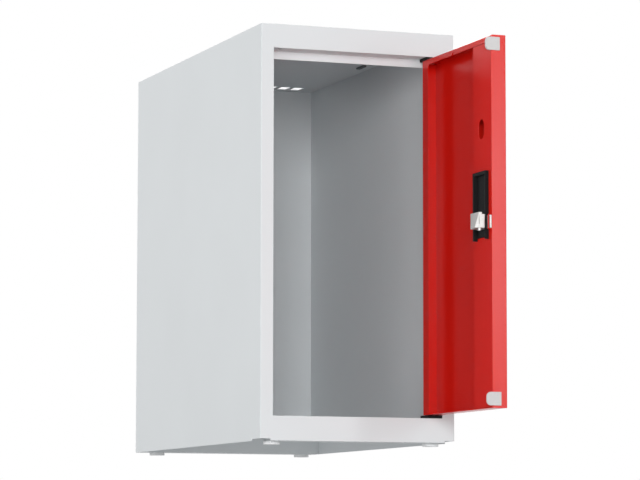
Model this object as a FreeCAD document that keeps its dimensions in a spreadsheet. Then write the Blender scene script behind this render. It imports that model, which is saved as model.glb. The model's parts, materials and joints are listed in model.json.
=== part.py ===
import FreeCAD, Part
import Sketcher
import os

# Small sheet-steel locker with one compartment and an inset door, standing open at a right angle.
# Frame: +X to the right, +Y to the back, +Z up, origin on the ground under the middle of the carcass.

doc = FreeCAD.newDocument("Locker")
dim = doc.addObject("Spreadsheet::Sheet", "Dim")

# Driving sizes in millimetres, and counts.
sizes = {
    # carcass sheet metal
    "carcass_width": 250,
    "carcass_depth": 500,
    "carcass_height": 500,
    "carcass_sheet": 1,
    "bend_radius": 1.5,
    "post_width": 16,
    "post_return": 11,
    "jamb_depth": 26.3,
    "relief_width": 13,
    "relief_depth": 30,
    "relief_height": 2.2,
    "fascia_height": 28.8,
    "rail_height": 29.5,
    "stop_height": 9.5,
    "base_flange": 32,
    "floor_flange": 15,
    "corner_relief_width": 12,
    "corner_relief_depth": 13,
    # air slots in the roof
    "vent_count": 11,
    "vent_width": 13,
    "vent_length": 22,
    "vent_pitch": 18.7,
    "vent_margin": 14,
    # feet
    "foot_height": 4,
    "foot_radius": 10,
    "foot_inset": 22.7,
    "foot_stem_radius": 3,
    "foot_stem_length": 5,
    # clips under the roof
    "clip_length": 25,
    "clip_width": 6,
    "clip_height": 2,
    "clip_inset": 19.5,
    "clip_back": 238.5,
    "clip_corner": 2,
    # door sheet metal
    "door_thickness": 18.6,
    "door_sheet": 1,
    "door_gap": 4.1,
    "edge_lip": 7,
    "hinge_lip": 18.5,
    "lip_notch_width": 4,
    "lip_notch_depth": 3.2,
    "lip_notch_setback": 95,
    "stiffener_width": 53.7,
    "stiffener_seam": 0.4,
    "spare_hole_height": 326.4,
    "spare_hole_backset": 30.1,
    "spare_hole_width": 15,
    "spare_hole_length": 23,
    # hinges
    "pivot_to_face": 6.2,
    "pivot_to_edge": 4.5,
    "hinge_block_width": 20,
    "hinge_block_depth": 22,
    "hinge_block_height": 3.6,
    "hinge_block_margin": 0.2,
    "hinge_block_corner": 1.5,
    "hinge_play": 0.3,
    "pin_radius": 2.5,
    "pin_engagement": 3.2,
    "pin_head_radius": 4.5,
    "pin_head_height": 1.5,
    "pin_hole_play": 0.6,
    "bearing_length": 14,
    "bearing_height": 2.4,
    "screw_head_radius": 3,
    "screw_head_height": 1.8,
    "screw_radius": 1.6,
    "screw_grip": 4,
    "screw_to_pivot": 4,
    "screw_inset": 17,
    # bumpers on the free edge of the door
    "bumper_height": 15.6,
    "bumper_margin": 2.8,
    "bumper_pad": 1.5,
    "bumper_cover": 10.3,
    "bumper_nose": 1.5,
    "bumper_corner": 5.2,
    "bumper_gap": 0.3,
    "bumper_stem_radius": 2.5,
    "bumper_stem_backset": 5.5,
    # lock case
    "case_backset": 9.2,
    "case_width": 36,
    "case_height": 79.7,
    "case_drop": 25,
    "case_proud": 4.7,
    "case_rim": 1.2,
    "case_notch": 3.4,
    "case_fit": 0.5,
    "case_web": 1.7,
    "case_rail": 2.2,
    "channel_width": 29.9,
    "channel_end": 4,
    # lock cylinder
    "lock_backset": 25.7,
    "lock_height": 220.9,
    "housing_radius": 9.5,
    "housing_rim_radius": 12,
    "housing_rim": 2.5,
    "plug_radius": 6.5,
    "plug_head_radius": 7.8,
    "plug_head": 1,
    "keyway_width": 2,
    "keyway_length": 8,
    "keyway_depth": 6,
    "nut_thickness": 2,
    "nut_radius": 13,
    "crank_radius": 8.8,
    "crank_thickness": 3,
    "crank_pin_radius": 1.5,
    # sliding bolt
    "bolt_throw": 9,
    "bolt_sheet": 2,
    "bolt_height": 15,
    "bolt_drop": 12.9,
    "bolt_proud": 2.2,
    "bolt_setback": 0.3,
    "bolt_length": 33.1,
    "pin_slot_play": 0.3,
    "window_play": 0.6,
    "strike_play": 1,
    "block_width": 24.2,
    "block_depth": 12.6,
    "block_height": 18.2,
    "block_drop": 12.3,
    "block_stem_width": 12,
    "block_stem_height": 15,
    "block_step_depth": 4,
    "block_step_height": 2.3,
    "block_fin_reach": 5,
    "block_fin_sheet": 2,
    "block_slit_width": 1,
    "block_slit_depth": 1.2,
    "block_slit_end": 3.8,
    "rivet_radius": 2,
    "rivet_drop": 3,
    "rivet_grip": 6,
    "rivet_inset": 2.6,
    "rivet_setback": 4,
    # clearances
    "slide_gap": 0.3,
    "turn_gap": 0.2,
    "pin_clearance": 0.05,
}
for row, (name, value) in enumerate(sizes.items(), 1):
    dim.set(f"A{row}", name)
    dim.set(f"B{row}", str(value))
    dim.setAlias(f"B{row}", name)
doc.recompute()

# Planes and heights that several pieces share, as formulas over the driving sizes.
half = "(Dim.carcass_width / 2)"
front = "(-Dim.carcass_depth / 2)"
back = "(Dim.carcass_depth / 2)"
base = "Dim.foot_height"
crown = "(Dim.foot_height + Dim.carcass_height)"
gauge = "Dim.carcass_sheet"
inner_half = f"({half} - {gauge})"
clear_half = f"({half} - Dim.post_width)"
sill = f"({base} + Dim.rail_height)"
lintel = f"({crown} - Dim.fascia_height)"
stop_face = f"({front} + Dim.jamb_depth)"
stop_back = f"({stop_face} + {gauge})"
floor_under = f"({sill} - {gauge})"
floor_lip = f"({sill} - Dim.floor_flange)"

pivot_x = f"({clear_half} - Dim.door_gap - Dim.pivot_to_edge)"
pivot_y = f"({front} + Dim.pivot_to_face)"
skin = "Dim.door_sheet"
skin_x = f"({pivot_x} + Dim.pivot_to_face)"
skin_inside = f"({skin_x} - {skin})"
lip_x = f"({skin_x} - Dim.door_thickness)"
hinge_y = f"({pivot_y} + Dim.pivot_to_edge)"
screw_x = f"({pivot_x} - Dim.screw_to_pivot)"
screw_y = f"({front} + Dim.screw_inset)"
free_y = f"({hinge_y} - 2 * ({clear_half} - Dim.door_gap))"
stiffener_y = f"({free_y} + Dim.stiffener_width)"
door_foot = f"({sill} + Dim.hinge_block_height + Dim.hinge_play)"
door_head = f"({lintel} - Dim.hinge_block_height - Dim.hinge_play)"

lock_y = f"({free_y} + Dim.lock_backset)"
lock_z = f"({door_foot} + Dim.lock_height)"
case_y = f"({free_y} + Dim.case_backset)"
case_z = f"({lock_z} - Dim.case_drop)"
case_face = f"({lip_x} - Dim.case_proud)"
case_back = f"({skin_inside} - Dim.nut_thickness)"
bolt_face = f"({lip_x} - Dim.bolt_proud)"
bolt_z = f"({lock_z} - Dim.bolt_drop)"
bolt_tip = f"({free_y} + Dim.bolt_setback)"
bolt_end = f"({bolt_tip} + Dim.bolt_length)"
channel_floor = f"({bolt_face} + Dim.bolt_sheet + Dim.slide_gap)"
bore_floor = f"({channel_floor} + Dim.case_web)"
crank_face = f"({bore_floor} + Dim.slide_gap)"
crank_back = f"({crank_face} + Dim.crank_thickness)"
throw_half = "(Dim.bolt_throw / 2)"
crank_arm = "(Dim.bolt_throw / sqrt(2))"


def number(formula):
    return float(dim.evalExpression(formula))


def rectangle(x_low, x_high, y_low, y_high):
    return [(x_low, y_low), (x_high, y_low), (x_high, y_high), (x_low, y_high)]


def span(middle, width):
    return f"{middle} - {width} / 2", f"{middle} + {width} / 2"


def tie(sketch, kind, geometry, point, formula):
    value = number(formula)
    if point is None:
        row = sketch.addConstraint(Sketcher.Constraint(kind, geometry, value))
    else:
        row = sketch.addConstraint(Sketcher.Constraint(kind, -1, 1, geometry, point, value))
    sketch.setExpression(f"Constraints[{row}]", formula)


def draw_corners(sketch, corners):
    points = [FreeCAD.Vector(number(x), number(y), 0) for x, y in corners]
    ends = points[1:] + points[:1]
    lines = [sketch.addGeometry(Part.LineSegment(a, b), False) for a, b in zip(points, ends)]
    for line, following in zip(lines, lines[1:] + lines[:1]):
        sketch.addConstraint(Sketcher.Constraint("Coincident", line, 2, following, 1))
    for line, (x, y) in zip(lines, corners):
        tie(sketch, "DistanceX", line, 1, x)
        tie(sketch, "DistanceY", line, 1, y)


def draw_circle(sketch, x, y, radius):
    centre = FreeCAD.Vector(number(x), number(y), 0)
    edge = sketch.addGeometry(Part.Circle(centre, FreeCAD.Vector(0, 0, 1), number(radius)), False)
    tie(sketch, "DistanceX", edge, 3, x)
    tie(sketch, "DistanceY", edge, 3, y)
    tie(sketch, "Radius", edge, None, radius)


def new_sketch(body, plane, level):
    sketch = body.newObject("Sketcher::SketchObject", f"{body.Name}_sketch")
    origin = next(item for item in body.Origin.OriginFeatures if item.Role == f"{plane}_Plane")
    sketch.AttachmentSupport = [(origin, "")]
    sketch.MapMode = "FlatFace"
    facing = "-1" if plane == "XZ" else "1"
    sketch.setExpression("AttachmentOffset.Base.z", f"{facing} * ({level})")
    return sketch


def shape_sketch(body, plane, level, shape):
    sketch = new_sketch(body, plane, level)
    if isinstance(shape, list):
        draw_corners(sketch, shape)
    else:
        draw_circle(sketch, *shape)
    return sketch


def add(body, plane, start, length, shape):
    level = f"{start} + {length}" if plane == "XZ" else start
    feature = body.newObject("PartDesign::Pad", f"{body.Name}_pad")
    feature.Profile = shape_sketch(body, plane, level, shape)
    feature.setExpression("Length", length)
    doc.recompute()
    return feature


def cut(body, plane, start, length, shape):
    before = body.Shape.Volume
    level = start if plane == "XZ" else f"{start} + {length}"
    feature = body.newObject("PartDesign::Pocket", f"{body.Name}_pocket")
    feature.Profile = shape_sketch(body, plane, level, shape)
    feature.setExpression("Length", length)
    doc.recompute()
    if body.Shape.Volume >= before:
        raise RuntimeError(f"{feature.Name} removes nothing")
    return feature


def turn(body, shape):
    sketch = shape_sketch(body, "XZ", "0", shape)
    feature = body.newObject("PartDesign::Revolution", f"{body.Name}_turned")
    feature.Profile = sketch
    feature.ReferenceAxis = (sketch, ["V_Axis"])
    doc.recompute()
    return feature


def dress(body, kind, size, property_name, test):
    base_feature = body.Tip
    chosen = [f"Edge{i}" for i, edge in enumerate(base_feature.Shape.Edges, 1) if test(edge)]
    feature = body.newObject(f"PartDesign::{kind}", f"{body.Name}_{kind.lower()}")
    feature.Base = (base_feature, chosen)
    feature.setExpression(property_name, size)
    doc.recompute()
    return feature


def near(value, formula):
    return abs(value - number(formula)) < 1e-4


def runs_along(edge, axis):
    direction = edge.Vertexes[-1].Point - edge.Vertexes[0].Point
    return edge.Length > 1e-4 and abs(abs(direction.dot(axis)) - edge.Length) < 1e-4


def place(item, x, y, z):
    for axis, formula in zip("xyz", (x, y, z)):
        item.setExpression(f"Placement.Base.{axis}", formula)


along_x = FreeCAD.Vector(1, 0, 0)
along_y = FreeCAD.Vector(0, 1, 0)
along_z = FreeCAD.Vector(0, 0, 1)
pieces = []


def piece(label, kind="PartDesign::Body"):
    item = doc.addObject(kind, label)
    item.Label = label
    pieces.append(item)
    return item


# Side panels: one sheet each, folded round the front into a post, its jamb and a return.
def side_panel(label, side):
    body = piece(label)

    def inward(distance):
        return f"{side} * ({half} - {distance})"

    outside, inside = inward("0"), inward(gauge)
    jamb, jamb_inside = inward("Dim.post_width"), inward(f"(Dim.post_width - {gauge})")
    return_edge = inward("(Dim.post_width - Dim.post_return)")
    add(body, "XY", base, "Dim.carcass_height", [
        (outside, back), (outside, front), (jamb, front), (jamb, stop_back),
        (return_edge, stop_back), (return_edge, stop_face), (jamb_inside, stop_face),
        (jamb_inside, f"{front} + {gauge}"), (inside, f"{front} + {gauge}"), (inside, back)])
    cut(body, "XY", f"{crown} - {gauge}", gauge,
        rectangle(inside, jamb, f"{front} + {gauge}", stop_back))
    dress(body, "Fillet", "Dim.bend_radius", "Radius", lambda edge: runs_along(edge, along_z)
          and near(edge.CenterOfMass.x, outside) and near(edge.CenterOfMass.y, front))
    cut(body, "XY", base, "Dim.relief_height",
        rectangle(outside, inward("Dim.relief_width"), front, f"{front} + Dim.relief_depth"))
    return body


left_side = side_panel("left_side_panel", -1)
side_panel("right_side_panel", 1)

# The slot in the left jamb takes the bolt when the closed door is locked.
strike_y = f"{front} + Dim.door_thickness + Dim.bolt_proud - Dim.bolt_sheet - Dim.strike_play"
strike_y_end = f"{front} + Dim.door_thickness + Dim.bolt_proud + Dim.strike_play"
cut(left_side, "YZ", f"-{clear_half} - {gauge}", gauge, rectangle(
    strike_y, strike_y_end,
    f"{bolt_z} - Dim.strike_play", f"{bolt_z} + Dim.bolt_height + Dim.strike_play"))

# Back panel: flat sheet between the sides.
back_panel = piece("back_panel")
add(back_panel, "XZ", f"{back} - {gauge}", gauge,
    rectangle(f"-{inner_half}", inner_half, base, f"{crown} - {gauge}"))


def hinge_holes(body, level, thickness):
    cut(body, "XY", level, thickness, (pivot_x, pivot_y, "Dim.pin_radius + Dim.pin_clearance"))
    cut(body, "XY", level, thickness, (screw_x, screw_y, "Dim.screw_radius + Dim.pin_clearance"))


# Roof: flat sheet whose front edge folds down into the fascia, back, and down again as a door stop.
top_panel = piece("top_panel")
add(top_panel, "YZ", f"-{clear_half}", f"2 * {clear_half}", [
    (front, crown), (front, lintel), (stop_face, lintel), (stop_face, f"{lintel} - Dim.stop_height"),
    (stop_back, f"{lintel} - Dim.stop_height"), (stop_back, f"{lintel} + {gauge}"),
    (f"{front} + {gauge}", f"{lintel} + {gauge}"), (f"{front} + {gauge}", f"{crown} - {gauge}"),
    (stop_back, f"{crown} - {gauge}"), (stop_back, crown)])
add(top_panel, "XY", f"{crown} - {gauge}", gauge,
    rectangle(f"-{inner_half}", inner_half, f"{front} + {gauge}", back))
hinge_holes(top_panel, lintel, gauge)
cut(top_panel, "XY", lintel, gauge, rectangle(
    f"-{clear_half}", f"-{clear_half} + Dim.corner_relief_width",
    f"{front} + {gauge}", f"{front} + {gauge} + Dim.corner_relief_depth"))
first_vent = "-Dim.vent_pitch * (Dim.vent_count - 1) / 2"
vent_end = f"{back} - Dim.vent_margin"
vent = cut(top_panel, "XY", f"{crown} - {gauge}", gauge, rectangle(
    *span(first_vent, "Dim.vent_width"), f"{vent_end} - Dim.vent_length", vent_end))
vents = top_panel.newObject("PartDesign::LinearPattern", "vents")
vents.Originals = [vent]
vents.Direction = (vent.Profile[0], ["H_Axis"])
vents.Mode = "Spacing"
vents.setExpression("Offset", "Dim.vent_pitch")
vents.setExpression("Occurrences", "Dim.vent_count")
top_panel.Tip = vents
doc.recompute()

# Bottom rail: a channel whose lower flange carries the front feet and whose upper flange ends in a lip.
bottom_rail = piece("bottom_front_rail")
add(bottom_rail, "YZ", f"-{clear_half}", f"2 * {clear_half}", [
    (front, base), (front, sill), (stop_back, sill), (stop_back, floor_lip),
    (stop_face, floor_lip), (stop_face, floor_under),
    (f"{front} + {gauge}", floor_under), (f"{front} + {gauge}", f"{base} + {gauge}"),
    (f"{front} + Dim.base_flange", f"{base} + {gauge}"), (f"{front} + Dim.base_flange", base)])
hinge_holes(bottom_rail, floor_under, gauge)

# Rear base rail: a Z section under the floor that carries the rear feet.
rear_rail = piece("rear_base_rail")
web_y = f"({back} - Dim.base_flange)"
add(rear_rail, "YZ", f"-{inner_half}", f"2 * {inner_half}", [
    (f"{back} - {gauge}", base), (web_y, base), (web_y, floor_under),
    (f"{web_y} + Dim.floor_flange", floor_under), (f"{web_y} + Dim.floor_flange", f"{floor_under} - {gauge}"),
    (f"{web_y} + {gauge}", f"{floor_under} - {gauge}"), (f"{web_y} + {gauge}", f"{base} + {gauge}"),
    (f"{back} - {gauge}", f"{base} + {gauge}")])

# Floor: a sheet level with the rail, with flanges turned down behind its lip and at the back panel.
floor = piece("floor_panel")
floor_back = f"({back} - {gauge})"
add(floor, "YZ", f"-{inner_half}", f"2 * {inner_half}", [
    (stop_back, sill), (floor_back, sill), (floor_back, floor_lip),
    (f"{floor_back} - {gauge}", floor_lip), (f"{floor_back} - {gauge}", floor_under),
    (f"{stop_back} + {gauge}", floor_under), (f"{stop_back} + {gauge}", floor_lip), (stop_back, floor_lip)])

# Feet: discs with a stem plugged into the base flanges.
foot_x = f"({half} - Dim.foot_inset)"
foot_y = f"({back} - Dim.foot_inset)"
for end, rail, sign in (("front", bottom_rail, "-1"), ("rear", rear_rail, "1")):
    for hand, side in (("left", "-1"), ("right", "1")):
        cut(rail, "XY", base, gauge, (
            f"{side} * {foot_x}", f"{sign} * {foot_y}", "Dim.foot_stem_radius + Dim.pin_clearance"))
        foot = piece(f"foot_{end}_{hand}")
        turn(foot, [
            ("0", "0"), ("Dim.foot_radius", "0"), ("Dim.foot_radius", base), ("Dim.foot_stem_radius", base),
            ("Dim.foot_stem_radius", f"{base} + Dim.foot_stem_length"),
            ("0", f"{base} + Dim.foot_stem_length")])
        place(foot, f"{side} * {foot_x}", f"{sign} * {foot_y}", "0")

# Clips on the ceiling beside the walls.
for hand, side in (("left", "-1"), ("right", "1")):
    clip = piece(f"ceiling_clip_{hand}")
    clip_y = f"({back} - Dim.clip_back)"
    add(clip, "XY", f"{crown} - {gauge} - Dim.clip_height", "Dim.clip_height", rectangle(
        *span(f"{side} * ({half} - Dim.clip_inset)", "Dim.clip_width"), *span(clip_y, "Dim.clip_length")))
    dress(clip, "Fillet", "Dim.clip_corner", "Radius", lambda edge: runs_along(edge, along_z))

# Hinges: a block under the fascia and one on the bottom rail, each with a headed pin and a screw.
screw_solids = []
for end, seat, sign in (("top", lintel, "-1"), ("bottom", sill, "1")):
    block = piece(f"hinge_block_{end}")
    low = f"({seat} - Dim.hinge_block_height)" if end == "top" else seat
    add(block, "XY", low, "Dim.hinge_block_height", rectangle(
        f"{clear_half} - Dim.hinge_block_width", clear_half, f"{front} + Dim.hinge_block_margin",
        f"{front} + Dim.hinge_block_margin + Dim.hinge_block_depth"))
    dress(block, "Fillet", "Dim.hinge_block_corner", "Radius", lambda edge: runs_along(edge, along_z)
          and near(edge.CenterOfMass.x, f"{clear_half} - Dim.hinge_block_width"))
    hinge_holes(block, low, "Dim.hinge_block_height")
    recess = low if end == "top" else f"{low} + Dim.hinge_block_height - Dim.screw_head_height"
    cut(block, "XY", recess, "Dim.screw_head_height",
        (screw_x, screw_y, "Dim.screw_head_radius + Dim.pin_clearance"))
    screw = doc.addObject("PartDesign::Body", f"screw_{end}")
    turn(screw, [
        ("0", "0"), ("Dim.screw_head_radius", "0"), ("Dim.screw_head_radius", "Dim.screw_head_height"),
        ("Dim.screw_radius", "Dim.screw_head_height"),
        ("Dim.screw_radius", "Dim.hinge_block_height + Dim.screw_grip"),
        ("0", "Dim.hinge_block_height + Dim.screw_grip")])
    if end == "bottom":
        screw.Placement = FreeCAD.Placement(FreeCAD.Vector(), FreeCAD.Rotation(along_x, 180))
    place(screw, screw_x, screw_y, f"{seat} + {sign} * Dim.hinge_block_height")
    screw_solids.append(screw)
    pin = piece(f"hinge_pin_{end}")
    shank = f"({gauge} + Dim.hinge_block_height + Dim.hinge_play + Dim.pin_engagement)"
    turn(pin, [
        ("0", "-Dim.pin_head_height"), ("Dim.pin_head_radius", "-Dim.pin_head_height"),
        ("Dim.pin_head_radius", "0"), ("Dim.pin_radius", "0"), ("Dim.pin_radius", shank), ("0", shank)])
    if end == "top":
        pin.Placement = FreeCAD.Placement(FreeCAD.Vector(), FreeCAD.Rotation(along_x, 180))
    place(pin, pivot_x, pivot_y, f"{seat} - {sign} * {gauge}")
hinge_screws = piece("hinge_screws", "Part::Compound")
hinge_screws.Links = screw_solids

# Door pan: outer skin with four folded edges, and inner lips along the top and the hinge side.
pan = piece("door_pan")
add(pan, "YZ", lip_x, "Dim.door_thickness", rectangle(free_y, hinge_y, door_foot, door_head))
dress(pan, "Fillet", "Dim.bend_radius", "Radius", lambda edge: near(edge.CenterOfMass.x, skin_x) or (
    near(edge.CenterOfMass.x, lip_x) and not near(edge.CenterOfMass.y, free_y)
    and not near(edge.CenterOfMass.z, door_foot)))
cut(pan, "YZ", f"{lip_x} + {skin}", f"Dim.door_thickness - 2 * {skin}", rectangle(
    f"{free_y} + {skin}", f"{hinge_y} - {skin}", f"{door_foot} + {skin}", f"{door_head} - {skin}"))
cut(pan, "YZ", lip_x, skin, rectangle(
    f"{free_y} + {skin}", f"{hinge_y} - Dim.hinge_lip",
    f"{door_foot} + {skin}", f"{door_head} - Dim.edge_lip"))
cut(pan, "YZ", lip_x, skin, rectangle(
    *span(f"({hinge_y} - Dim.lip_notch_setback)", "Dim.lip_notch_width"),
    f"{door_head} - Dim.edge_lip", f"{door_head} - Dim.edge_lip + Dim.lip_notch_depth"))
for wall_z in (door_foot, f"{door_head} - {skin}"):
    cut(pan, "XY", wall_z, skin, (pivot_x, pivot_y, "Dim.pin_radius + Dim.pin_hole_play"))
cut(pan, "YZ", skin_inside, skin, (lock_y, lock_z, "Dim.housing_radius + Dim.pin_clearance"))

# Lock-side stiffener: a channel under the top lip, open for the lock case and a spare fixing.
stiffener = piece("lock_stiffener")
stiffener_foot = f"({door_foot} + {skin} + Dim.stiffener_seam)"
stiffener_head = f"({door_head} - Dim.edge_lip - Dim.stiffener_seam)"
wall_y = f"({free_y} + {skin})"
add(stiffener, "XY", stiffener_foot, f"{stiffener_head} - {stiffener_foot}", [
    (lip_x, wall_y), (skin_inside, wall_y), (skin_inside, f"{wall_y} + {skin}"),
    (f"{lip_x} + {skin}", f"{wall_y} + {skin}"), (f"{lip_x} + {skin}", f"{stiffener_y} - {skin}"),
    (skin_inside, f"{stiffener_y} - {skin}"), (skin_inside, stiffener_y), (lip_x, stiffener_y)])
body_y = f"({case_y} + Dim.case_rim)"
body_y_end = f"({case_y} + Dim.case_width - Dim.case_rim)"
body_z = f"({case_z} + Dim.case_notch)"
body_z_end = f"({case_z} + Dim.case_height - Dim.case_rim)"
cut(stiffener, "YZ", lip_x, skin, rectangle(
    f"{body_y} - Dim.case_fit", f"{body_y_end} + Dim.case_fit",
    f"{body_z} - Dim.case_fit", f"{body_z_end} + Dim.case_fit"))
hole_y = f"({free_y} + Dim.spare_hole_backset)"
hole_z = f"({door_foot} + Dim.spare_hole_height)"
cut(stiffener, "YZ", lip_x, skin, rectangle(
    *span(hole_y, "Dim.spare_hole_width"), *span(hole_z, "Dim.spare_hole_length")))
hole_reach = number("Dim.spare_hole_length")
dress(stiffener, "Fillet", "Dim.spare_hole_width / 2 - Dim.pin_clearance", "Radius",
      lambda edge: runs_along(edge, along_x) and edge.Length < number(f"2 * {skin}")
      and abs(edge.CenterOfMass.z - number(hole_z)) < hole_reach)

# Bearings: plates seated in the hinge-side corners of the pan, bored for the pins.
for end, bearing_z in (("top", f"{door_head} - {skin} - Dim.bearing_height"),
                       ("bottom", f"{door_foot} + {skin}")):
    bearing = piece(f"hinge_bearing_{end}")
    add(bearing, "XY", bearing_z, "Dim.bearing_height", rectangle(
        f"{lip_x} + {skin}", skin_inside, f"{hinge_y} - {skin} - Dim.bearing_length", f"{hinge_y} - {skin}"))
    cut(bearing, "XY", bearing_z, "Dim.bearing_height",
        (pivot_x, pivot_y, "Dim.pin_radius + Dim.pin_clearance"))

# Bumpers: pads clipped on the free edge, with a nose that reaches to the door stop.
nose_x = f"({skin_x} - Dim.jamb_depth + Dim.bumper_gap)"
bumper_stem_x = f"{lip_x} + Dim.bumper_stem_backset"
for end, bumper_z in (("top", f"({door_head} - Dim.bumper_margin - Dim.bumper_height)"),
                      ("bottom", f"({door_foot} + Dim.bumper_margin)")):
    bumper_z_end = f"{bumper_z} + Dim.bumper_height"
    bumper_middle = f"{bumper_z} + Dim.bumper_height / 2"
    cut(pan, "XZ", free_y, skin,
        (bumper_stem_x, bumper_middle, "Dim.bumper_stem_radius + Dim.pin_clearance"))
    bumper = piece(f"bumper_{end}")
    add(bumper, "XZ", f"{free_y} - Dim.bumper_pad", "Dim.bumper_pad",
        rectangle(nose_x, f"{lip_x} + Dim.bumper_cover", bumper_z, bumper_z_end))
    add(bumper, "XZ", free_y, "Dim.bumper_nose", rectangle(nose_x, lip_x, bumper_z, bumper_z_end))
    dress(bumper, "Fillet", "Dim.bumper_corner", "Radius", lambda edge: runs_along(edge, along_y)
          and near(edge.CenterOfMass.x, nose_x))
    add(bumper, "XZ", free_y, skin, (bumper_stem_x, bumper_middle, "Dim.bumper_stem_radius"))

# Lock case: a moulded block whose raised face lies on the stiffener, with a channel for the bolt.
case = piece("lock_case")
case_y_end = f"({case_y} + Dim.case_width)"
rail_y = f"({case_y} + Dim.case_rail)"
pin_reach = "(Dim.crank_pin_radius + Dim.window_play)"
add(case, "YZ", case_face, "Dim.case_proud",
    rectangle(case_y, case_y_end, case_z, f"{case_z} + Dim.case_height"))
add(case, "YZ", lip_x, f"{case_back} - {lip_x}", rectangle(body_y, body_y_end, body_z, body_z_end))
cut(case, "YZ", case_face, f"{channel_floor} - {case_face}", rectangle(
    rail_y, f"{rail_y} + Dim.channel_width", case_z, f"{case_z} + Dim.case_height - Dim.channel_end"))
cut(case, "XZ", case_y, "Dim.case_rail", rectangle(
    f"{bolt_face} - Dim.slide_gap", channel_floor,
    f"{bolt_z} - Dim.slide_gap", f"{bolt_z} + Dim.bolt_height + Dim.slide_gap"))
cut(case, "YZ", bore_floor, f"{case_back} - {bore_floor}",
    (lock_y, lock_z, "Dim.housing_radius + Dim.pin_clearance"))
cut(case, "YZ", channel_floor, "Dim.case_web", rectangle(
    f"{lock_y} - {throw_half} - {pin_reach}", f"{lock_y} + {throw_half} + {pin_reach}",
    f"{lock_z} - {crank_arm} - {pin_reach}", f"{lock_z} - {throw_half} + {pin_reach}"))

# Lock cylinder: housing through the door skin, its nut, the turning plug and the crank behind it.
lock_turn = FreeCAD.Placement(FreeCAD.Vector(), FreeCAD.Rotation(along_y, 90))
housing = piece("cylinder_housing")
barrel = f"({skin_x} - {crank_back} - Dim.turn_gap)"
bore_radius = "(Dim.plug_radius + Dim.pin_clearance)"
turn(housing, [
    (bore_radius, f"-{barrel}"), ("Dim.housing_radius", f"-{barrel}"), ("Dim.housing_radius", "0"),
    ("Dim.housing_rim_radius", "0"), ("Dim.housing_rim_radius", "Dim.housing_rim"),
    (bore_radius, "Dim.housing_rim")])
plug = piece("cylinder_plug")
plug_root = f"-({skin_x} - {crank_back})"
plug_face = "(Dim.housing_rim + Dim.turn_gap + Dim.plug_head)"
turn(plug, [
    ("0", plug_root), ("Dim.plug_radius", plug_root), ("Dim.plug_radius", "Dim.housing_rim + Dim.turn_gap"),
    ("Dim.plug_head_radius", "Dim.housing_rim + Dim.turn_gap"), ("Dim.plug_head_radius", plug_face),
    ("0", plug_face)])
cut(plug, "XY", f"{plug_face} - Dim.keyway_depth", "Dim.keyway_depth", rectangle(
    *span("0", "Dim.keyway_length"), *span("0", "Dim.keyway_width")))
for item in (housing, plug):
    item.Placement = lock_turn
    place(item, skin_x, lock_y, lock_z)

nut_blank = doc.addObject("Part::Prism", "nut_blank")
nut_blank.Polygon = 6
nut_blank.setExpression("Circumradius", "Dim.nut_radius")
nut_blank.setExpression("Height", "Dim.nut_thickness")
nut_bore = doc.addObject("Part::Cylinder", "nut_bore")
nut_bore.setExpression("Radius", "Dim.housing_radius + Dim.pin_clearance")
nut_bore.setExpression("Height", "Dim.nut_thickness")
nut = piece("cylinder_nut", "Part::Cut")
nut.Base = nut_blank
nut.Tool = nut_bore
nut.Placement = lock_turn
place(nut, case_back, lock_y, lock_z)

crank = piece("drive_crank")
crank_pin_y = f"({lock_y} + {throw_half})"
crank_pin_z = f"({lock_z} - {throw_half})"
add(crank, "YZ", crank_face, "Dim.crank_thickness", (lock_y, lock_z, "Dim.crank_radius"))
crank_tip = f"({bolt_face} + Dim.slide_gap)"
add(crank, "YZ", crank_tip, f"{crank_face} - {crank_tip}", (crank_pin_y, crank_pin_z, "Dim.crank_pin_radius"))

# Bolt: a flat steel bar with a slot for the crank pin.
bolt = piece("bolt_bar")
bolt_top = f"({bolt_z} + Dim.bolt_height)"
slot_half = "(Dim.crank_pin_radius + Dim.pin_slot_play)"
add(bolt, "YZ", bolt_face, "Dim.bolt_sheet", rectangle(bolt_tip, bolt_end, bolt_z, bolt_top))
cut(bolt, "YZ", bolt_face, "Dim.bolt_sheet", rectangle(
    f"{crank_pin_y} - {slot_half}", f"{crank_pin_y} + {slot_half}",
    f"{lock_z} - {crank_arm} - {slot_half}", f"{crank_pin_z} + {slot_half}"))

# Bolt block: rides in front of the lock case on a stem, with a stepped top and a three-cornered fin.
latch = piece("bolt_block")
latch_x = f"({lip_x} - Dim.block_depth)"
latch_x_end = f"({case_face} - Dim.slide_gap)"
latch_y = f"({bolt_end} - Dim.block_width)"
latch_z = f"({lock_z} - Dim.block_drop)"
latch_top = f"({latch_z} + Dim.block_height)"
shoulder = f"({latch_top} - Dim.block_step_height)"
step_x = f"({latch_x} + Dim.block_step_depth)"
add(latch, "XZ", latch_y, "Dim.block_width", [
    (latch_x, latch_z), (latch_x_end, latch_z), (latch_x_end, shoulder),
    (step_x, shoulder), (step_x, latch_top), (latch_x, latch_top)])
add(latch, "YZ", latch_x_end, f"{bolt_face} - {latch_x_end}", rectangle(
    f"{bolt_end} - Dim.block_stem_width", bolt_end, f"{bolt_top} - Dim.block_stem_height", bolt_top))
add(latch, "XZ", latch_y, "Dim.block_fin_sheet", [
    (latch_x, latch_z), (latch_x, shoulder), (f"{latch_x} - Dim.block_fin_reach", latch_z)])
cut(latch, "XZ", latch_y, "Dim.block_slit_depth", rectangle(
    latch_x, f"{latch_x} + Dim.block_slit_width",
    f"{latch_z} + Dim.block_slit_end", f"{shoulder} - Dim.block_slit_end / 2"))
rivet_x = f"({latch_x} + Dim.rivet_inset)"
rivet_y = f"({latch_y} + Dim.rivet_setback)"
cut(latch, "XY", latch_z, "Dim.rivet_grip", (rivet_x, rivet_y, "Dim.rivet_radius + Dim.pin_clearance"))
rivet = piece("bolt_rivet")
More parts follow.
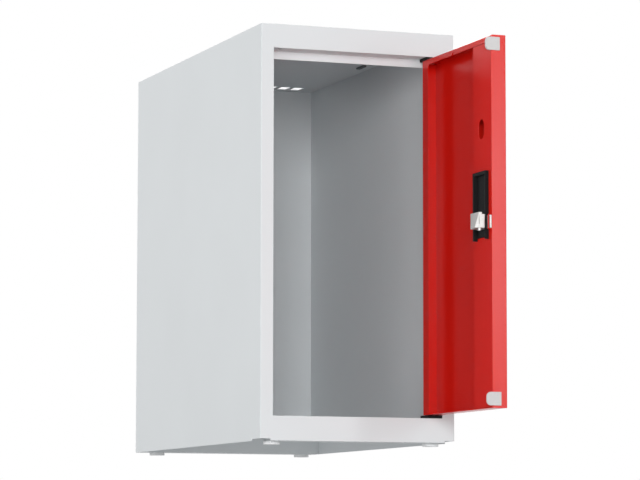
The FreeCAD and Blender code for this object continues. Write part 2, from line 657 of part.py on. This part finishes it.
add(rivet, "XY", f"{latch_z} - Dim.rivet_drop", "Dim.rivet_drop + Dim.rivet_grip",
    (rivet_x, rivet_y, "Dim.rivet_radius"))

doc.recompute()
for item in doc.Objects:
    if "Invalid" in item.State or "Error" in item.State:
        raise RuntimeError(f"{item.Name} failed: {item.State}")
for item in pieces:
    if item.Shape.isNull() or not item.Shape.isValid() or not item.Shape.Solids:
        raise RuntimeError(f"{item.Label} has no valid solid")
os.makedirs("parts", exist_ok=True)
for item in pieces:
    item.Shape.exportStep(f"parts/{item.Label}.step")
print(len(pieces), "pieces written")
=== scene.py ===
import json
import math
import bmesh
import bpy
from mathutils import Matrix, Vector


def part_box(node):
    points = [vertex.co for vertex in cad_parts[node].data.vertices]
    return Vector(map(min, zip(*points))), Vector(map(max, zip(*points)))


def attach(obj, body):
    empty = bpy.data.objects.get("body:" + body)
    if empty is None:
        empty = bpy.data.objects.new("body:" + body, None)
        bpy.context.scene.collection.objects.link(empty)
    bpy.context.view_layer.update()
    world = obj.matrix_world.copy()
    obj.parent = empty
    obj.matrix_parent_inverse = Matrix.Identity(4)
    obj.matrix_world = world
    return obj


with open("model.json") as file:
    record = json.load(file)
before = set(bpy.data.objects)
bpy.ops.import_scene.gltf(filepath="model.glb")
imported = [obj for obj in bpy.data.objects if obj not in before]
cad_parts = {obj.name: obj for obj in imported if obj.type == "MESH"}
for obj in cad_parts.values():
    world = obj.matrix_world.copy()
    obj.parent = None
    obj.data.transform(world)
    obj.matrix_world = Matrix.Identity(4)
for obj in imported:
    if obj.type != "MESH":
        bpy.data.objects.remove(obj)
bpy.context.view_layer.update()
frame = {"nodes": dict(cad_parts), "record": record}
nodes = frame["nodes"]
subparts = frame["record"]["subparts"]
scene = bpy.context.scene
millimetre = 0.001
print("locker frame loaded:", len(nodes), "nodes")


def hexColour(code):
    channels = [int(code[i:i + 2], 16) / 255 for i in (1, 3, 5)]
    linear = [c / 12.92 if c <= 0.04045 else ((c + 0.055) / 1.055) ** 2.4 for c in channels]
    return (*linear, 1.0)


def perMetre(sizeMm):
    return 1 / (sizeMm * millimetre)  # object coordinates are metres


def addNode(tree, kind, settings=None, values=None, links=None):
    node = tree.nodes.new(kind)
    for name, value in (settings or {}).items():
        setattr(node, name, value)
    for name, value in (values or {}).items():
        node.inputs[name].default_value = value
    for name, source in (links or {}).items():
        tree.links.new(source, node.inputs[name])
    return node


def newFinish(name):
    finish = bpy.data.materials.new(name)
    finish.use_nodes = True
    tree = finish.node_tree
    place = addNode(tree, "ShaderNodeTexCoord").outputs["Object"]
    return finish, tree, place


def layFinish(tree, look, pattern, relief):
    # the pattern tints the surface and sets its gloss, the relief raises it
    shader = tree.nodes["Principled BSDF"]
    tint = addNode(tree, "ShaderNodeValToRGB", None, None, {"Fac": pattern})
    colours = (look["deep"], look["pale"])
    for stop, position, colour in zip(tint.color_ramp.elements, look["tintStops"], colours):
        stop.position = position
        stop.color = hexColour(colour)
    gloss = addNode(tree, "ShaderNodeMapRange", None,
                    {"To Min": look["roughLow"], "To Max": look["roughHigh"]}, {"Value": pattern})
    bump = addNode(tree, "ShaderNodeBump", None,
                   {"Strength": 1.0, "Distance": look["depthMm"] * millimetre}, {"Height": relief})
    for socket, source in (("Base Color", tint.outputs["Color"]),
                           ("Roughness", gloss.outputs["Result"]),
                           ("Normal", bump.outputs["Normal"])):
        tree.links.new(source, shader.inputs[socket])
    return shader


# Polyester powder sprayed on folded sheet steel and baked.
# It gives a satin skin with a fine orange peel, faint clouding and a soft broad gloss.
greyCoat = {"deep": "#DEE2E4", "pale": "#E3E7E9", "tintStops": (0.2, 0.8), "cloudMm": 160,
            "peelMm": 3.2, "depthMm": 0.02, "roughLow": 0.38, "roughHigh": 0.56, "shine": 0.2}
redCoat = {"deep": "#D61910", "pale": "#DC1C12", "tintStops": (0.2, 0.8), "cloudMm": 140,
           "peelMm": 3.2, "depthMm": 0.02, "roughLow": 0.17, "roughHigh": 0.26, "shine": 0.18}
cloudNoise = {"Detail": 2.0, "Roughness": 0.5}
peelNoise = {"Detail": 1.5, "Roughness": 0.4}


def powderCoat(name, look):
    finish, tree, place = newFinish(name)
    cloud = addNode(tree, "ShaderNodeTexNoise", None,
                    {"Scale": perMetre(look["cloudMm"]), **cloudNoise}, {"Vector": place})
    peel = addNode(tree, "ShaderNodeTexNoise", None,  # real peel is nearer 1 mm, coarser to show
                   {"Scale": perMetre(look["peelMm"]), **peelNoise}, {"Vector": place})
    shader = layFinish(tree, look, cloud.outputs["Fac"], peel.outputs["Fac"])
    shader.inputs["Specular IOR Level"].default_value = look["shine"]
    return finish


# Glass-filled nylon moulded in a spark-eroded tool: matt, with a tight grainy skin,
# near black in the lock case and hinge blocks, dark grey in the ceiling clips.
# Moulded polyethylene: waxy and a little smoother, pale grey bumpers and near white feet.
blackMould = {"deep": "#101112", "pale": "#1C1D1E", "tintStops": (0.3, 0.7), "grainMm": 1.2,
              "depthMm": 0.02, "roughLow": 0.40, "roughHigh": 0.80, "shine": 0.15}
clipMould = {"deep": "#6E7072", "pale": "#787A7C", "tintStops": (0.3, 0.7), "grainMm": 1.2,
             "depthMm": 0.02, "roughLow": 0.40, "roughHigh": 0.80, "shine": 0.15}
bumperMould = {"deep": "#CECCCC", "pale": "#D3D1D1", "tintStops": (0.3, 0.7), "grainMm": 1.6,
               "depthMm": 0.012, "roughLow": 0.35, "roughHigh": 0.65, "shine": 0.35}
footMould = {"deep": "#EEF0F1", "pale": "#F4F5F6", "tintStops": (0.3, 0.7), "grainMm": 1.6,
             "depthMm": 0.012, "roughLow": 0.35, "roughHigh": 0.65, "shine": 0.35}
grainNoise = {"Detail": 4.0, "Roughness": 0.6}


def mouldedPlastic(name, look):
    finish, tree, place = newFinish(name)
    grain = addNode(tree, "ShaderNodeTexNoise", None,  # tool grit is near 0.3 mm, coarser to show
                    {"Scale": perMetre(look["grainMm"]), **grainNoise}, {"Vector": place})
    shader = layFinish(tree, look, grain.outputs["Fac"], grain.outputs["Fac"])
    shader.inputs["Specular IOR Level"].default_value = look["shine"]
    return finish


# Pressed steel with bright zinc plate: cool pale metal, lines along the strip, soft reflections.
# Brass turned and nickel plated: warmer and nearly mirror bright, with fine lathe lines.
# The lines of both are nearer 0.1 mm apart and are drawn coarser to show.
zincPlate = {"deep": "#B2B2B1", "pale": "#CACAC7", "tintStops": (0.3, 0.7),
             "lineMm": (3.0, 3.0, 0.4), "depthMm": 0.004, "roughLow": 0.35, "roughHigh": 0.65}
nickelPlate = {"deep": "#CFC8BE", "pale": "#E0DBD3", "tintStops": (0.3, 0.7),
               "lineMm": (0.5, 4.0, 4.0), "depthMm": 0.003, "roughLow": 0.08, "roughHigh": 0.28}
lineNoise = {"Detail": 3.0, "Roughness": 0.6}


def platedMetal(name, look):
    finish, tree, place = newFinish(name)
    stretch = addNode(tree, "ShaderNodeMapping", None,
                      {"Scale": [perMetre(size) for size in look["lineMm"]]}, {"Vector": place})
    lines = addNode(tree, "ShaderNodeTexNoise", None,
                    {"Scale": 1.0, **lineNoise}, {"Vector": stretch.outputs["Vector"]})
    shader = layFinish(tree, look, lines.outputs["Fac"], lines.outputs["Fac"])
    shader.inputs["Metallic"].default_value = 1.0
    return finish


finishes = {
    "grey_powder_coat": powderCoat("grey_powder_coat", greyCoat),
    "red_powder_coat": powderCoat("red_powder_coat", redCoat),
    "black_plastic": mouldedPlastic("black_moulded_nylon", blackMould),
    "grey_plastic": mouldedPlastic("grey_moulded_polyethylene", bumperMould),
    "zinc_steel": platedMetal("zinc_plated_steel", zincPlate),
    "nickel": platedMetal("nickel_plated_brass", nickelPlate),
}
ownFinishes = {  # pieces that differ within their slot, by the start of their names
    "foot_": mouldedPlastic("pale_moulded_polyethylene", footMould),
    "ceiling_clip_": mouldedPlastic("dark_grey_moulded_nylon", clipMould),
}
for subpart in subparts:
    piece = nodes[subpart["node"]]
    own = [finish for start, finish in ownFinishes.items() if subpart["node"].startswith(start)]
    piece.data.materials.clear()
    piece.data.materials.append(own[0] if own else finishes[subpart["material_slot"]])
print("finishes set:", ", ".join(finishes))


# Edges as the press, the brake and the mould leave them, in mm.
edgeBreak = {
    "sheet": {"width": 0.3, "segments": 2}, "fold": {"width": 1.2, "segments": 4},
    "moulding": {"width": 0.5, "segments": 3}, "metal": {"width": 0.25, "segments": 2},
    "sharpDegrees": 35.0, "flatDegrees": 0.5, "joinWithin": 0.002, "normalWeight": 80,
    "sheetShare": 0.25, "seamReach": 0.2,
}
edgeKinds = {"grey_powder_coat": "sheet", "red_powder_coat": "sheet", "black_plastic": "moulding",
             "grey_plastic": "moulding", "zinc_steel": "metal", "nickel": "metal"}
frontFrame = ("left_side_panel", "right_side_panel", "top_panel", "bottom_front_rail")
foldedFronts = ("top_panel", "bottom_front_rail")
slottedSheets = ("top_panel",)  # a face with a row of holes stays in triangles
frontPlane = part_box("top_panel")[0].y
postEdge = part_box("bottom_front_rail")[1].x


def frontEdges(name, foldShare):
    # posts, fascia and rail are welded flush and ground before coating, so their seams stay closed
    tree = bpy.data.node_groups.new(name, "GeometryNodeTree")
    tree.interface.new_socket("Geometry", in_out="INPUT", socket_type="NodeSocketGeometry")
    tree.interface.new_socket("Geometry", in_out="OUTPUT", socket_type="NodeSocketGeometry")
    reach = edgeBreak["seamReach"] * millimetre
    start = addNode(tree, "NodeGroupInput")
    angle = addNode(tree, "GeometryNodeInputMeshEdgeAngle")
    sharp = addNode(tree, "ShaderNodeMath", {"operation": "GREATER_THAN"},
                    {1: math.radians(edgeBreak["sharpDegrees"])},
                    {0: angle.outputs["Unsigned Angle"]})
    middle = addNode(tree, "GeometryNodeInputPosition")
    axes = addNode(tree, "ShaderNodeSeparateXYZ", None, None, {0: middle.outputs[0]})
    across = addNode(tree, "ShaderNodeMath", {"operation": "ABSOLUTE"}, None,
                     {0: axes.outputs["X"]})
    seam = addNode(tree, "ShaderNodeMath", {"operation": "COMPARE"},
                   {1: postEdge, 2: reach}, {0: across.outputs[0]})
    fold = addNode(tree, "ShaderNodeMath", {"operation": "COMPARE"},
                   {1: frontPlane, 2: reach}, {0: axes.outputs["Y"]})
    share = addNode(tree, "ShaderNodeMapRange", None,
                    {"To Min": edgeBreak["sheetShare"], "To Max": foldShare},
                    {"Value": fold.outputs[0]})
    free = addNode(tree, "ShaderNodeMath", {"operation": "SUBTRACT", "use_clamp": True}, None,
                   {0: sharp.outputs[0], 1: seam.outputs[0]})
    weight = addNode(tree, "ShaderNodeMath", {"operation": "MULTIPLY"}, None,
                     {0: free.outputs[0], 1: share.outputs["Result"]})
    store = addNode(tree, "GeometryNodeStoreNamedAttribute",
                    {"data_type": "FLOAT", "domain": "EDGE"}, {"Name": "bevel_weight_edge"},
                    {"Geometry": start.outputs[0], "Value": weight.outputs[0]})
    closed = addNode(tree, "ShaderNodeMath", {"operation": "MULTIPLY"}, None,
                     {0: sharp.outputs[0], 1: seam.outputs[0]})
    crisp = addNode(tree, "GeometryNodeSetShadeSmooth", {"domain": "EDGE"},
                    {"Shade Smooth": False},
                    {"Geometry": store.outputs[0], "Selection": closed.outputs[0]})
    addNode(tree, "NodeGroupOutput", None, None, {0: crisp.outputs[0]})
    return tree


foldEdges = frontEdges("foldedFrontEdges", 1.0)
sheetEdges = frontEdges("postFrontEdges", edgeBreak["sheetShare"])


def breakEdges(piece, kind):
    weld = piece.modifiers.new("joinFacets", "WELD")
    weld.merge_threshold = edgeBreak["joinWithin"] * millimetre
    if piece.name not in slottedSheets:
        merge = piece.modifiers.new("plainFaces", "DECIMATE")
        merge.decimate_type = "DISSOLVE"
        merge.angle_limit = math.radians(edgeBreak["flatDegrees"])
    if piece.name in frontFrame:
        marks = piece.modifiers.new("edgeMarks", "NODES")
        marks.node_group = foldEdges if piece.name in foldedFronts else sheetEdges
        kind = "fold"
    bevel = piece.modifiers.new("brokenEdges", "BEVEL")
    bevel.width = edgeBreak[kind]["width"] * millimetre
    bevel.segments = edgeBreak[kind]["segments"]
    bevel.limit_method = "WEIGHT" if kind == "fold" else "ANGLE"
    bevel.angle_limit = math.radians(edgeBreak["sharpDegrees"])
    bevel.miter_outer = "MITER_ARC"
    smooth = piece.modifiers.new("evenShading", "WEIGHTED_NORMAL")
    smooth.weight = edgeBreak["normalWeight"]
    smooth.keep_sharp = True


for subpart in subparts:
    breakEdges(nodes[subpart["node"]], edgeKinds[subpart["material_slot"]])
print("edges broken on", len(nodes), "nodes")


# Bolt strap: a loop of the door's own sheet over the bolt bar, in mm.
# It leaves only the bar's tip in sight by the free edge.
boltStrap = {"sheet": 0.8, "width": 2.6, "caseGap": 3.7, "barGap": 0.2, "sideGap": 0.6,
             "bend": 1.2, "rooted": 0.2}
bendSteps = 5
quarterTurn = 90


def bentLine(start, corners, end, radius):
    line = [start]
    for corner, turnFrom in corners:
        for step in range(bendSteps + 1):
            angle = math.radians(turnFrom + quarterTurn * step / bendSteps)
            line.append((corner[0] - radius * math.sin(angle),
                         corner[1] - radius * math.cos(angle)))
    return line + [end]


def buildStrap():
    size = {name: value * millimetre for name, value in boltStrap.items()}
    barLow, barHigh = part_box("bolt_bar")
    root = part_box("lock_stiffener")[0].x + size["rooted"]  # its feet stand in the stiffener's face
    top = barLow.x - size["barGap"] - size["sheet"]
    low = barLow.z - size["sideGap"] - size["sheet"]
    high = barHigh.z + size["sideGap"] + size["sheet"]
    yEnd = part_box("lock_case")[0].y - size["caseGap"]
    yStart = yEnd - size["width"]
    bends = (((top + size["bend"], low + size["bend"]), 0),
             ((top + size["bend"], high - size["bend"]), quarterTurn))
    outside = bentLine((root, low), bends, (root, high), size["bend"])
    inside = bentLine((root, low + size["sheet"]), bends, (root, high - size["sheet"]),
                      size["bend"] - size["sheet"])
    form = bmesh.new()
    nearOut, nearIn, farOut, farIn = [[form.verts.new((x, y, z)) for x, z in line]
                                      for y in (yStart, yEnd) for line in (outside, inside)]
    sides = ((nearOut, farOut), (nearIn, farIn), (nearOut, nearIn), (farOut, farIn))
    for i in range(len(outside) - 1):
        for one, two in sides:
            form.faces.new((one[i], one[i + 1], two[i + 1], two[i]))
    for i in (0, -1):
        form.faces.new((nearOut[i], farOut[i], farIn[i], nearIn[i]))
    bmesh.ops.recalc_face_normals(form, faces=form.faces)
    for face in form.faces:
        face.smooth = True
    mesh = bpy.data.meshes.new("boltStrap")
    form.to_mesh(mesh)
    form.free()
    strap = bpy.data.objects.new("bolt_strap", mesh)
    scene.collection.objects.link(strap)
    mesh.materials.append(finishes["red_powder_coat"])
    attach(strap, "door")
    breakEdges(strap, "sheet")
    return strap


strap = buildStrap()
print("bolt strap made:", len(strap.data.polygons), "faces")


# Floor: matt white card, seen only from above, that fades into the white around it.
white = hexColour("#FFFFFF")
floorLook = {"size": 6.0, "colour": "#F2F2F2", "glow": 0.35, "glowFrom": 0.45, "glowTo": 2.4}
reach = floorLook["size"] / 2
floorCorners = [(-reach, -reach, 0), (reach, -reach, 0), (reach, reach, 0), (-reach, reach, 0)]
ground = bpy.data.meshes.new("studioFloor")
ground.from_pydata(floorCorners, [], [(0, 1, 2, 3)])
studioFloor = bpy.data.objects.new("studioFloor", ground)
scene.collection.objects.link(studioFloor)
card = bpy.data.materials.new("white_paper_floor")
card.use_nodes = True
cardTree = card.node_tree
cardTree.nodes.clear()
matt = addNode(cardTree, "ShaderNodeBsdfDiffuse", None, {"Color": hexColour(floorLook["colour"])})
lit = addNode(cardTree, "ShaderNodeEmission", None, {"Color": white, "Strength": 1.0})
clear = addNode(cardTree, "ShaderNodeBsdfTransparent")
path = addNode(cardTree, "ShaderNodeLightPath")
spot = addNode(cardTree, "ShaderNodeNewGeometry")
fromMiddle = addNode(cardTree, "ShaderNodeVectorMath", {"operation": "LENGTH"}, None,
                     {0: spot.outputs["Position"]})
fade = addNode(cardTree, "ShaderNodeMapRange", {"interpolation_type": "SMOOTHSTEP"},
               {"From Min": floorLook["glowFrom"], "From Max": floorLook["glowTo"],
                "To Min": floorLook["glow"], "To Max": 1.0}, {"Value": fromMiddle.outputs["Value"]})
sweep = addNode(cardTree, "ShaderNodeMixShader", None, None,
                {0: fade.outputs["Result"], 1: matt.outputs[0], 2: lit.outputs[0]})
seen = addNode(cardTree, "ShaderNodeMath", {"operation": "MAXIMUM"}, None,
               {0: path.outputs["Is Camera Ray"], 1: path.outputs["Is Glossy Ray"]})
above = addNode(cardTree, "ShaderNodeMath", {"operation": "SUBTRACT", "use_clamp": True}, None,
                {0: seen.outputs[0], 1: spot.outputs["Backfacing"]})
floorBlend = addNode(cardTree, "ShaderNodeMixShader", None, None,
                     {0: above.outputs[0], 1: clear.outputs[0], 2: sweep.outputs[0]})
addNode(cardTree, "ShaderNodeOutputMaterial", None, None, {"Surface": floorBlend.outputs[0]})
ground.materials.append(card)

# Room: white to the eye and in reflections, and an even light that is stronger from below,
# as a pale table throws more than the ceiling.
sky = {"lowStrength": 0.45, "highStrength": 0.26, "horizon": 0.25}
world = bpy.data.worlds.new("whiteStudio")
scene.world = world
world.use_nodes = True
skyTree = world.node_tree
skyTree.nodes.clear()
skyPath = addNode(skyTree, "ShaderNodeLightPath")
skyEye = addNode(skyTree, "ShaderNodeMath", {"operation": "MAXIMUM"}, None,
                 {0: skyPath.outputs["Is Camera Ray"], 1: skyPath.outputs["Is Glossy Ray"]})
skySeen = addNode(skyTree, "ShaderNodeMath", {"operation": "MAXIMUM"}, None,
                  {0: skyEye.outputs[0], 1: skyPath.outputs["Is Transmission Ray"]})
skyWay = addNode(skyTree, "ShaderNodeTexCoord")
skyAxes = addNode(skyTree, "ShaderNodeSeparateXYZ", None, None, {0: skyWay.outputs["Generated"]})
skyRise = addNode(skyTree, "ShaderNodeMapRange", None,
                  {"From Min": -sky["horizon"], "From Max": sky["horizon"],
                   "To Min": sky["lowStrength"], "To Max": sky["highStrength"]},
                  {"Value": skyAxes.outputs["Z"]})
skyLight = addNode(skyTree, "ShaderNodeBackground", None, {"Color": white},
                   {"Strength": skyRise.outputs["Result"]})
skyWhite = addNode(skyTree, "ShaderNodeBackground", None, {"Color": white, "Strength": 1.0})
skyBlend = addNode(skyTree, "ShaderNodeMixShader", None, None,
                   {0: skySeen.outputs[0], 1: skyLight.outputs[0], 2: skyWhite.outputs[0]})
addNode(skyTree, "ShaderNodeOutputWorld", None, None, {"Surface": skyBlend.outputs[0]})

# Lamps: soft boxes round the locker. Azimuth is from straight in front, to the right, in degrees,
# distance and size are in metres.
lamps = {
    "frontSoftbox": {"azimuth": -20, "elevation": 5, "distance": 3.4,
                     "size": (1.0, 1.0), "watts": 49.5},
    "topSoftbox": {"azimuth": -10, "elevation": 84, "distance": 3.0,
                   "size": (2.0, 2.0), "watts": 20},
    "rightStripbox": {"azimuth": 22.5, "elevation": 6, "distance": 3.5,
                      "size": (0.30, 1.1), "watts": 14.5},
    "leftFrontSoftbox": {"azimuth": -55, "elevation": -11, "distance": 3.2,
                         "size": (1.6, 1.6), "watts": 11.5},
    "leftSoftbox": {"azimuth": -125, "elevation": 10, "distance": 3.0,
                    "size": (1.2, 1.2), "watts": 25},
    "backSoftbox": {"azimuth": 155, "elevation": 38, "distance": 3.0,
                    "size": (1.8, 1.8), "watts": 50},
    "rightSideSoftbox": {"azimuth": 102, "elevation": 12, "distance": 3.0,
                         "size": (2.0, 2.0), "watts": 18},
}
lampAim = Vector((0.0, -0.1, 0.25))
for name, lamp in lamps.items():
    data = bpy.data.lights.new(name, "AREA")
    data.shape = "ELLIPSE"
    data.size, data.size_y = lamp["size"]
    data.energy = lamp["watts"]
    turn, rise = math.radians(lamp["azimuth"]), math.radians(lamp["elevation"])
    away = Vector((math.sin(turn) * math.cos(rise), -math.cos(turn) * math.cos(rise),
                   math.sin(rise)))
    softbox = bpy.data.objects.new(name, data)
    softbox.location = lampAim + away * lamp["distance"]
    softbox.rotation_euler = (-away).to_track_quat("-Z", "Y").to_euler()
    softbox.visible_camera = False
    scene.collection.objects.link(softbox)

# Camera: a long lens, a little below the feet, as in the picture. Angles are in radians.
shot = {"place": (-1.324738, -3.658098, -0.126509), "yaw": 0.358178, "pitch": 0.101709,
        "roll": 0.001389, "lens": 171.481, "sensor": 36.0, "farLimit": 50.0}
lensData = bpy.data.cameras.new("shopCamera")
lensData.lens = shot["lens"]
lensData.sensor_width = shot["sensor"]
lensData.clip_end = shot["farLimit"]
shopCamera = bpy.data.objects.new("shopCamera", lensData)
shopCamera.location = shot["place"]
shopCamera.rotation_euler = (math.pi / 2 + shot["pitch"], -shot["roll"], -shot["yaw"])
scene.collection.objects.link(shopCamera)
scene.camera = shopCamera
scene.view_settings.view_transform = "Standard"
print("studio ready:", len(lamps), "lamps")

print("locker dressed")
